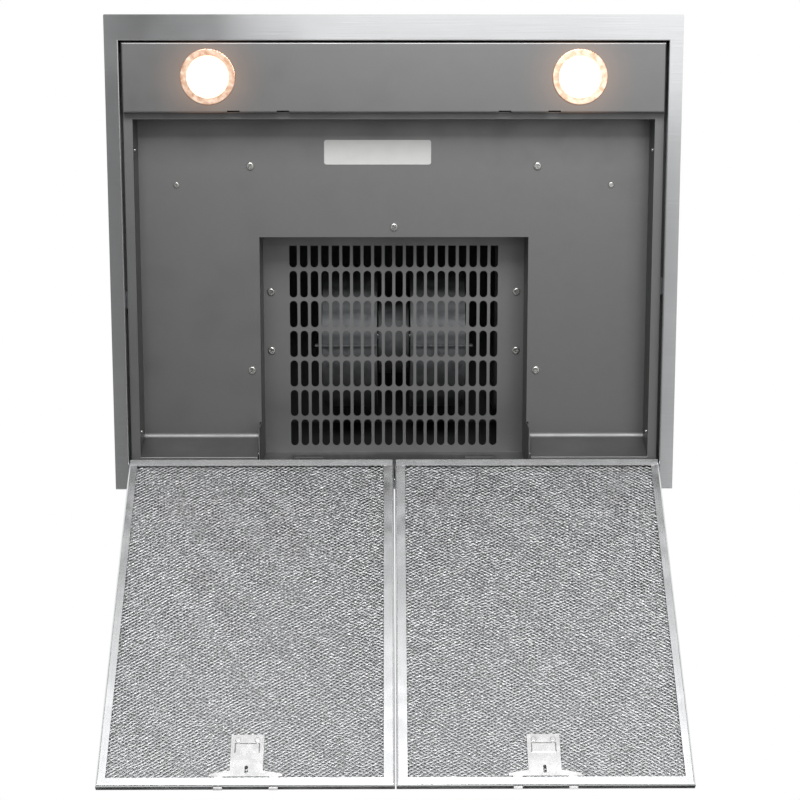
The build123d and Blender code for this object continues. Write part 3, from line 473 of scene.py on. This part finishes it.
def crushed_core(low, high, bottom, top):
    """A closed sheet with uneven faces, which stands for the foil layers deep in the pad."""
    draw = random.Random(5)
    columns, rows = 40, 52
    points = []
    for level, sign in ((bottom, -1), (top, 1)):
        for row in range(rows + 1):
            for column in range(columns + 1):
                x = low.x + (high.x - low.x) * column / columns
                y = low.y + (high.y - low.y) * row / rows
                points.append((x, y, level + sign * draw.uniform(0, 0.25) * MM))
    layer = (columns + 1) * (rows + 1)
    faces = []
    for row in range(rows):
        for column in range(columns):
            a = row * (columns + 1) + column
            b = a + columns + 1
            faces.append((a, b, b + 1, a + 1))
            faces.append((layer + a, layer + a + 1, layer + b + 1, layer + b))
    edge = list(range(columns + 1))
    edge += [row * (columns + 1) + columns for row in range(1, rows + 1)]
    edge += [rows * (columns + 1) + column for column in range(columns - 1, -1, -1)]
    edge += [row * (columns + 1) for row in range(rows - 1, 0, -1)]
    for k, a in enumerate(edge):
        b = edge[(k + 1) % len(edge)]
        faces.append((a, b, layer + b, layer + a))
    return points, faces


# Studio


def camera_basis(pitch_deg, yaw_deg, roll_deg):
    """Right, up and forward of a camera that looks up at the hood, with the front at the picture's top."""
    pitch, yaw, roll = radians(pitch_deg), radians(yaw_deg), radians(roll_deg)
    forward = Vector((0, sin(pitch), cos(pitch)))
    up = Vector((0, -cos(pitch), sin(pitch)))
    right = forward.cross(up)
    forward, right = forward * cos(yaw) + right * sin(yaw), right * cos(yaw) - forward * sin(yaw)
    right, up = right * cos(roll) + up * sin(roll), up * cos(roll) - right * sin(roll)
    return right, up, forward


def area_light(name, place, target, size_x, size_y, radiance):
    """A soft box of even radiance that the camera doesn't see."""
    light = bpy.data.lights.new(name, "AREA")
    light.shape = "RECTANGLE"
    light.size, light.size_y = size_x, size_y
    light.energy = radiance * pi * size_x * size_y
    made = bpy.data.objects.new(name, light)
    made.location = place
    made.rotation_euler = (Vector(target) - Vector(place)).to_track_quat("-Z", "Y").to_euler()
    made.visible_camera = False
    bpy.context.scene.collection.objects.link(made)


def seen_by_mirrors(tree):
    """1 for rays from the camera, off a mirror or through glass, and 0 for diffuse light."""
    rays = node(tree, "ShaderNodeLightPath").outputs
    inputs = {0: rays["Is Camera Ray"], 1: rays["Is Glossy Ray"]}
    first = node(tree, "ShaderNodeMath", inputs, operation="MAXIMUM")
    inputs = {0: first.outputs["Value"], 1: rays["Is Transmission Ray"]}
    return node(tree, "ShaderNodeMath", inputs, operation="MAXIMUM").outputs["Value"]


def white_world(settings):
    world = bpy.data.worlds.new("white_studio")
    bpy.context.scene.world = world
    world.use_nodes = True
    tree = world.node_tree
    background = tree.nodes["Background"]
    background.inputs["Color"].default_value = (1, 1, 1, 1)
    inputs = {"Value": seen_by_mirrors(tree), "To Min": settings.world_diffuse, "To Max": 1.0}
    strength = node(tree, "ShaderNodeMapRange", inputs)
    tree.links.new(strength.outputs["Result"], background.inputs["Strength"])


def stand_flag(name, material, points, faces):
    """A cloth that the mirrors show in place of the white background, and that the camera doesn't see."""
    flag = mesh_piece(name, points, faces, [material])
    flag.visible_camera = flag.visible_shadow = flag.visible_diffuse = False


def dark_flags(settings):
    """One flag far below the hood, and a dark band round the horizon."""
    cloth, tree, shader, place = start_material("dark_cloth", 0.0, 0.9, 1.45)
    weave = grain(tree, place, (30, 30, 30), 2.0)
    colour = tone(tree, spread(tree, weave, 0, 1), shade(settings.flag, 0.8), settings.flag)
    finish_surface(tree, shader, colour)
    low, (left, right), (front, rear) = settings.low_flag_z, settings.low_flag_x, settings.low_flag_y
    corners = [(left, front, low), (right, front, low), (right, rear, low), (left, rear, low)]
    stand_flag("low_flag", cloth, corners, [(0, 1, 2, 3)])
    bottom, front_top, rear_top = settings.horizon_z
    spokes, points, faces = 96, [], []
    for spoke in range(spokes):
        angle = 2 * pi * spoke / spokes
        x, y = settings.horizon_reach * cos(angle), settings.horizon_reach * sin(angle)
        points += [(x, y, bottom), (x, y, front_top if y < 0 else rear_top)]
        a, b = 2 * spoke, 2 * ((spoke + 1) % spokes)
        faces.append((a, b, b + 1, a + 1))
    stand_flag("horizon_band", cloth, points, faces)


def studio_floor(settings):
    """A pale disc far below that runs out into the white background."""
    rings, spokes, radius = 24, 96, 14.0
    points = [(0, 0, settings.floor_z)]
    for ring in range(1, rings + 1):
        reach = radius * ring / rings
        for spoke in range(spokes):
            angle = 2 * pi * spoke / spokes
            points.append((reach * cos(angle), reach * sin(angle), settings.floor_z))
    faces = [(0, 1 + spoke, 1 + (spoke + 1) % spokes) for spoke in range(spokes)]
    for ring in range(rings - 1):
        for spoke in range(spokes):
            a, b = 1 + ring * spokes + spoke, 1 + ring * spokes + (spoke + 1) % spokes
            faces.append((a, a + spokes, b + spokes, b))
    material, tree, shader, place = start_material("painted_floor", 0.0, 0.9, 1.45)
    cloud = grain(tree, place, (400, 400, 400), 2.0)
    colour = tone(tree, spread(tree, cloud, 0, 1), shade(settings.floor, 0.99), settings.floor)
    finish_surface(tree, shader, colour)
    shader.inputs["Specular IOR Level"].default_value = 0.0
    away = node(tree, "ShaderNodeVectorMath", {0: place}, operation="LENGTH").outputs["Value"]
    near, far = settings.floor_fade
    slant_near, slant_far = [(reach ** 2 + settings.floor_z ** 2) ** 0.5 for reach in (near, far)]
    fade = spread(tree, away, 0, 1, slant_near, slant_far)
    inputs = {"Value": seen_by_mirrors(tree), "To Min": settings.world_diffuse, "To Max": 1.0}
    glow = node(tree, "ShaderNodeMapRange", inputs).outputs["Result"]
    light = node(tree, "ShaderNodeEmission", {"Color": (1, 1, 1, 1), "Strength": glow})
    mix = node(tree, "ShaderNodeMixShader", {"Fac": fade})
    tree.links.new(shader.outputs["BSDF"], mix.inputs[1])
    tree.links.new(light.outputs["Emission"], mix.inputs[2])
    tree.links.new(mix.outputs["Shader"], tree.nodes["Material Output"].inputs["Surface"])
    floor = mesh_piece("studio_floor", points, faces, [material])


def colour_property(name, description, code):
    return bpy.props.FloatVectorProperty(
        name=name, description=description, subtype="COLOR", size=3, min=0, max=1, default=linear(code),
    )


def number_property(name, description, value):
    return bpy.props.FloatProperty(name=name, description=description, default=value, precision=4)


def numbers_property(name, description, values):
    return bpy.props.FloatVectorProperty(
        name=name, description=description, size=len(values), default=values, precision=4,
    )


def length_property(name, description, mm):
    return bpy.props.FloatProperty(
        name=name, description=description, subtype="DISTANCE", unit="LENGTH", default=mm * MM, precision=5,
    )


class HoodFinish(bpy.types.PropertyGroup):
    steel: colour_property("Steel", "Brushed stainless steel of canopy and flue", "#C8C9CA")
    steel_roughness: number_property("Steel roughness", "Brushed steel", 0.18)
    liner: colour_property("Liner", "Satin steel behind the filters", "#767676")
    grille: colour_property("Grille", "Satin plate with the air slots", "#7A7A7A")
    light_panel: colour_property("Light panel", "Satin panel that holds the lamps", "#7A7A7A")
    zinc: colour_property("Zinc", "Galvanised sheet of the blower", "#B9BCBE")
    fastener: colour_property("Fasteners", "Zinc plated screws and rivets", "#C4C4C0")
    label: colour_property("Label", "Blank label film", "#C4C4C2")


class HoodFilters(bpy.types.PropertyGroup):
    aluminium: colour_property("Aluminium", "Rolled rails of the filter rims", "#E6E7E8")
    frame_roughness: number_property("Rail roughness", "Rolled rails", 0.22)
    mesh: colour_property("Mesh", "Expanded aluminium foil", "#E6E7E8")
    # The hinge numbers are lower than the free end's: painted shade that greys the foil towards the hinge.
    dull_foil_hinge_shade: numbers_property("Dull foil", "Bent strands at the hinge and the free end", (0.32, 0.56))
    bright_foil_hinge_shade: numbers_property("Bright foil", "Flat strands at the hinge and the free end", (0.46, 0.82))
    plate: colour_property("Latch steel", "Bright pressed latch plates", "#C6C6C6")
    cell_width: length_property("Cell width", "Short way of one foil opening", 3.7)
    cell_length: length_property("Cell length", "Long way of one foil opening", 6.4)
    bond_length: length_property("Bond length", "Length over which two strands stay joined", 0.9)
    strand_width: length_property("Strand width", "Width of one foil strand", 0.95)
    strand_rise: length_property("Strand rise", "Height of one foil strand's ridge", 0.18)
    strand_slack: length_property("Strand slack", "How unevenly the strands were stretched", 0.5)
    strand_stray: length_property("Strand stray", "How far a whole strand lies off its line", 0.2)
    strand_slip: length_property("Strand slip", "How far a whole strand is moved along its line", 0.6)
    foil_pull: length_property("Foil pull", "How far a layer was pulled out of true", 0.2)
    foil_ripple: length_property("Foil ripple", "Height of a layer's ripples", 0.05)
    layer_gap: length_property("Layer gap", "Distance between two foil layers", 1.1)


class HoodLamps(bpy.types.PropertyGroup):
    lamp_ring: colour_property("Lamp ring", "Satin nickel bezel in its own light", "#F6DCC6")
    # Painted light: the amber of the lamp's light on the bezel, which darkened also paints the shadow line.
    amber_lamp_light: colour_property("Lamp amber", "Blotches on the bezel", "#E0B092")
    lamp_core: colour_property("Lamp core", "Light in the middle of the glass", "#FFFFFF")
    lamp_edge: colour_property("Lamp edge", "Light near the rim of the glass", "#FFD9A8")
    lamp_strength: number_property("Glow", "Strength of the lit glass", 4.0)
    ring_glow: number_property("Ring", "Strength of the ring's glow", 0.38)
    halo: colour_property("Halo", "Warm glow on the panel beside a lamp", "#69492F")
    halo_reach: numbers_property("Halo reach", "Metres to the halo's start and its end", (0.024, 0.072))
    halo_falloff: number_property("Halo falloff", "Power of the fading", 2.2)
    # Where the painted shadow line at the ring's outer edge starts and is full.
    ring_shadow_line: numbers_property("Ring edge", "Metres to the start and full of the dark line", (0.0277, 0.029))
    core_edge: numbers_property("Core edge", "Metres to the core's end and to the warm rim", (0.015, 0.0205))
    edge_glow: number_property("Rim glow", "Strength near the glass rim", 0.9)


class HoodStudio(bpy.types.PropertyGroup):
    camera_place: numbers_property("Camera place", "Where the camera stands", (-0.0081, -0.40514, -1.85394))
    camera_turn: numbers_property("Camera turn", "Pitch, yaw and roll in degrees", (9.441, 0.433, -0.079))
    lens: number_property("Lens", "Focal length in mm on a 36 mm sensor", 79.33)
    world_diffuse: number_property("Fill", "World light on matt surfaces", 0.36)
    key_radiance: number_property("Key", "Radiance of the key soft box", 12.0)
    card_radiance: number_property("Card", "Radiance of the low card", 1.25)
    side_radiance: number_property("Side", "Radiance of the side card", 0.5)
    rear_radiance: number_property("Rear", "Radiance of the rear card", 0.8)
    flag: colour_property("Flag", "Dark cloth of the flags", "#303030")
    low_flag_z: length_property("Low flag height", "Height of the low flag", -2400)
    low_flag_x: numbers_property("Low flag width", "Left and right edge of the low flag", (-0.56, 0.56))
    low_flag_y: numbers_property("Low flag depth", "Front and rear edge of the low flag", (-0.6, 0.75))
    horizon_reach: length_property("Horizon reach", "Radius of the band round the horizon", 6000)
    horizon_z: numbers_property("Horizon height", "Lower edge, upper in front, behind", (-1.35, -0.45, 2.6))
    floor: colour_property("Floor", "Pale painted floor", "#E6E6E6")
    floor_z: length_property("Floor height", "Height of the floor under the rim", -3300)
    floor_fade: numbers_property("Floor fade", "Where the floor starts to run out, and is white", (3.0, 7.0))


class HOOD_OT_canopy(bpy.types.Operator):
    """Brushed steel canopy, flue and control strip, with the galvanised back"""

    bl_idname = "hood.canopy"
    bl_label = "Canopy and flue"

    def execute(self, context):
        finish = context.scene.hood_finish
        dress(brushed_stainless(finish, "x"), "canopy_shell", "control_fascia")
        dress(brushed_stainless(finish, "z"), "flue_lower", "flue_upper")
        zinc = galvanised_sheet("galvanised_back", finish.zinc)
        dress(zinc, "canopy_back", "hanging_rail", "ceiling_bracket")
        return {"FINISHED"}


class HOOD_OT_liner(bpy.types.Operator):
    """Satin steel liner, recess, grille, light panel and the blank label"""

    bl_idname = "hood.liner"
    bl_label = "Liner and grille"

    def execute(self, context):
        finish = context.scene.hood_finish
        liner = satin_steel("satin_liner", finish.liner)
        dress(liner, "inner_liner", "liner_sides", "blower_bay", "hinge_plate")
        dress(satin_steel("satin_grille", finish.grille), "blower_grille")
        dress(satin_steel("satin_light_panel", finish.light_panel, 0.42), "light_panel")
        dress(label_film(finish), "rating_plate")
        return {"FINISHED"}


class HOOD_OT_fasteners(bpy.types.Operator):
    """Zinc plated screws, rivets and pins, and spring clips"""

    bl_idname = "hood.fasteners"
    bl_label = "Fasteners"

    def execute(self, context):
        finish = context.scene.hood_finish
        zinc = zinc_plate("zinc_plate", finish.fastener)
        dress(zinc, "sheet_screws", "liner_rivets", "flap_pins", "fan_shaft")
        dress(pressed_steel("spring_strip", linear("#8E8F92"), 0.3), "rail_clips")
        return {"FINISHED"}


class HOOD_OT_filters(bpy.types.Operator):
    """Both grease filters: rolled rims whose rails meet in mitres, and pads of expanded foil"""

    bl_idname = "hood.filters"
    bl_label = "Grease filters"

    def execute(self, context):
        settings = context.scene.hood_filters
        along_x, along_y = [rolled_aluminium(settings, f"rolled_aluminium_{lay}", lay) for lay in ("x", "y")]
        # Painted shade: the deeper foil layer and the crushed core are darker copies of the same foil.
        levels = {"expanded_foil": 1.0, "second_foil_painted_shade": 0.85, "crushed_foil_painted_shade": 0.35}
        foils = [expanded_foil(settings, name, level) for name, level in levels.items()]
        for side in SIDES:
            dress_frame(side, along_x, along_y)
            foil = filter_foil(settings, side, foils)
            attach(foil, f"filter_{side}")
            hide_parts(f"filter_mesh_{side}")
        return {"FINISHED"}


class HOOD_OT_latches(bpy.types.Operator):
    """Pressed latch plates with their rivets, grips and springs, and the filters' pins, darkened as painted
    shade
    """

    bl_idname = "hood.latches"
    bl_label = "Filter latches"

    def execute(self, context):
        settings = context.scene.hood_filters
        bright = pressed_steel("bright_pressed_steel", settings.plate)
        spring = pressed_steel("spring_steel", linear("#8E8F92"), 0.3)
        # Painted shade: the pins are darkened for the shade at the top of the latch slot.
        pins_in_painted_shade = pressed_steel("pins_darkened_as_shade", linear("#3A3A3C"), 0.35)
        for side in SIDES:
            dress(bright, f"latch_plate_{side}", f"latch_grip_{side}", f"latch_rivets_{side}")
            dress(spring, f"latch_spring_{side}")
            dress(pins_in_painted_shade, f"filter_pins_{side}")
        return {"FINISHED"}


class HOOD_OT_lamps(bpy.types.Operator):
    """The two lamps: nickel rings, lit frosted glass and cans"""

    bl_idname = "hood.lamps"
    bl_label = "Lamps"

    def execute(self, context):
        lamps = context.scene.hood_lamps
        finish = context.scene.hood_finish
        dress(galvanised_sheet("galvanised_can", finish.zinc, 5.0), "lamp_housings")
        low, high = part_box("lamp_glasses")
        centre = Vector((high.x - (high.y - low.y) / 2, (low.y + high.y) / 2, low.z))
        mirrored = Vector((-centre.x, centre.y, centre.z))
        dress(lit_nickel(lamps, centre), "lamp_bezels")
        warm_halo(lamps, frame["nodes"]["light_panel"].data.materials[0], centre)
        glasses = frame["nodes"]["lamp_glasses"]
        glasses.data.materials.clear()
        for place in (centre, mirrored):
            glasses.data.materials.append(lit_frosted_glass(lamps, place))
        for face in glasses.data.polygons:
            face.material_index = 0 if face.center.x > 0 else 1
        return {"FINISHED"}


class HOOD_OT_blower(bpy.types.Operator):
    """Galvanised blower with its motor, wheels, duct collar and flaps"""

    bl_idname = "hood.blower"
    bl_label = "Blower"

    def execute(self, context):
        finish = context.scene.hood_finish
        # Painted shade: the blower's zinc is a copy of the sheet darkened to 0.3, for the shade inside the
        # blower box.
        sheet = galvanised_sheet("galvanised_blower_painted_shade", shade(finish.zinc, 0.3), 9.0, 0.25)
        dress(sheet, "scroll_left", "scroll_right", "outlet_plenum", "motor_case")
        dress(powder_coat("black_powder_coat", linear("#2A2A2B")), "blower_box")
        dress(laminated_core("motor_laminations", linear("#55565A")), "motor_stator", "motor_rotor")
        dress(moulded_plastic("black_nylon", linear("#26262A")), "impeller_left", "impeller_right")
        dress(moulded_plastic("grey_abs", linear("#8A8C8E")), "duct_collar", "flap_front", "flap_rear")
        return {"FINISHED"}


class HOOD_OT_electrics(bpy.types.Operator):
    """Control housing, board, buttons, boxes, capacitor, gland and cables"""

    bl_idname = "hood.electrics"
    bl_label = "Controls and wiring"

    def execute(self, context):
        black = moulded_plastic("black_abs", linear("#232325"))
        dress(black, "control_housing", "terminal_box", "lamp_driver", "cable_gland")
        dress(moulded_plastic("button_abs", linear("#3A3A3D"), 0.3), *[f"button_{name}" for name in BUTTONS])
        dress(moulded_plastic("capacitor_case", linear("#C9C9C4")), "capacitor")
        dress(moulded_plastic("pvc_sheath", linear("#1C1C1E"), 0.5), "wiring")
        dress(circuit_laminate(), "control_board")
        return {"FINISHED"}


class HOOD_OT_stage(bpy.types.Operator):
    """Camera below the hood, soft boxes, white world and pale floor"""

    bl_idname = "hood.stage"
    bl_label = "Studio"

    def execute(self, context):
        scene = context.scene
        studio = scene.hood_studio
        camera = bpy.data.cameras.new("camera")
        camera.lens, camera.sensor_width = studio.lens, 36
        camera.clip_start, camera.clip_end = 0.05, 100
        seat = bpy.data.objects.new("camera", camera)
        right, up, forward = camera_basis(*studio.camera_turn)
        turn = Matrix((right, up, -forward)).transposed().to_4x4()
        seat.matrix_world = Matrix.Translation(studio.camera_place) @ turn
        scene.collection.objects.link(seat)
        scene.camera = seat
        scene.view_settings.view_transform = "Standard"
        white_world(studio)
        dark_flags(studio)
        studio_floor(studio)
        area_light("key_soft_box", (0.05, -1.95, -2.0), (0, -0.25, 0), 1.6, 1.15, studio.key_radiance)
        area_light("low_card", (0.68, -1.24, -2.2), (0.68, -1.24, 0), 2.05, 1.75, studio.card_radiance)
        area_light("side_card", (1.22, 0.3, -2.2), (1.22, 0.3, 0), 1.24, 1.2, studio.side_radiance)
        area_light("rear_card", (0, 1.15, -2.2), (0, 0, 0), 1.4, 0.8, studio.rear_radiance)
        return {"FINISHED"}


OPERATORS = (
    HOOD_OT_stage, HOOD_OT_canopy, HOOD_OT_liner, HOOD_OT_fasteners, HOOD_OT_filters, HOOD_OT_latches,
    HOOD_OT_lamps, HOOD_OT_blower, HOOD_OT_electrics,
)
GROUPS = {
    "hood_finish": HoodFinish,
    "hood_filters": HoodFilters,
    "hood_lamps": HoodLamps,
    "hood_studio": HoodStudio,
}


class HOOD_PT_sidebar(bpy.types.Panel):
    """Lists the hood's pieces and its settings"""

    bl_idname = "HOOD_PT_sidebar"
    bl_label = "Range hood"
    bl_space_type = "VIEW_3D"
    bl_region_type = "UI"
    bl_category = "Range hood"

    def draw(self, context):
        for operator in OPERATORS:
            self.layout.operator(operator.bl_idname)
        for name, group in GROUPS.items():
            settings = getattr(context.scene, name)
            for label in group.__annotations__:
                self.layout.prop(settings, label)


def register():
    for group in GROUPS.values():
        bpy.utils.register_class(group)
    for operator in OPERATORS:
        bpy.utils.register_class(operator)
    bpy.utils.register_class(HOOD_PT_sidebar)
    for name, group in GROUPS.items():
        setattr(bpy.types.Scene, name, bpy.props.PointerProperty(type=group))


def unregister():
    for name in GROUPS:
        delattr(bpy.types.Scene, name)
    bpy.utils.unregister_class(HOOD_PT_sidebar)
    for operator in reversed(OPERATORS):
        bpy.utils.unregister_class(operator)
    for group in reversed(GROUPS.values()):
        bpy.utils.unregister_class(group)


def main():
    """Builds everything."""
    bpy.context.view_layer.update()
    register()
    for operator in OPERATORS:
        group, name = operator.bl_idname.split(".")
        getattr(getattr(bpy.ops, group), name)()


if __name__ == "__main__":
    main()
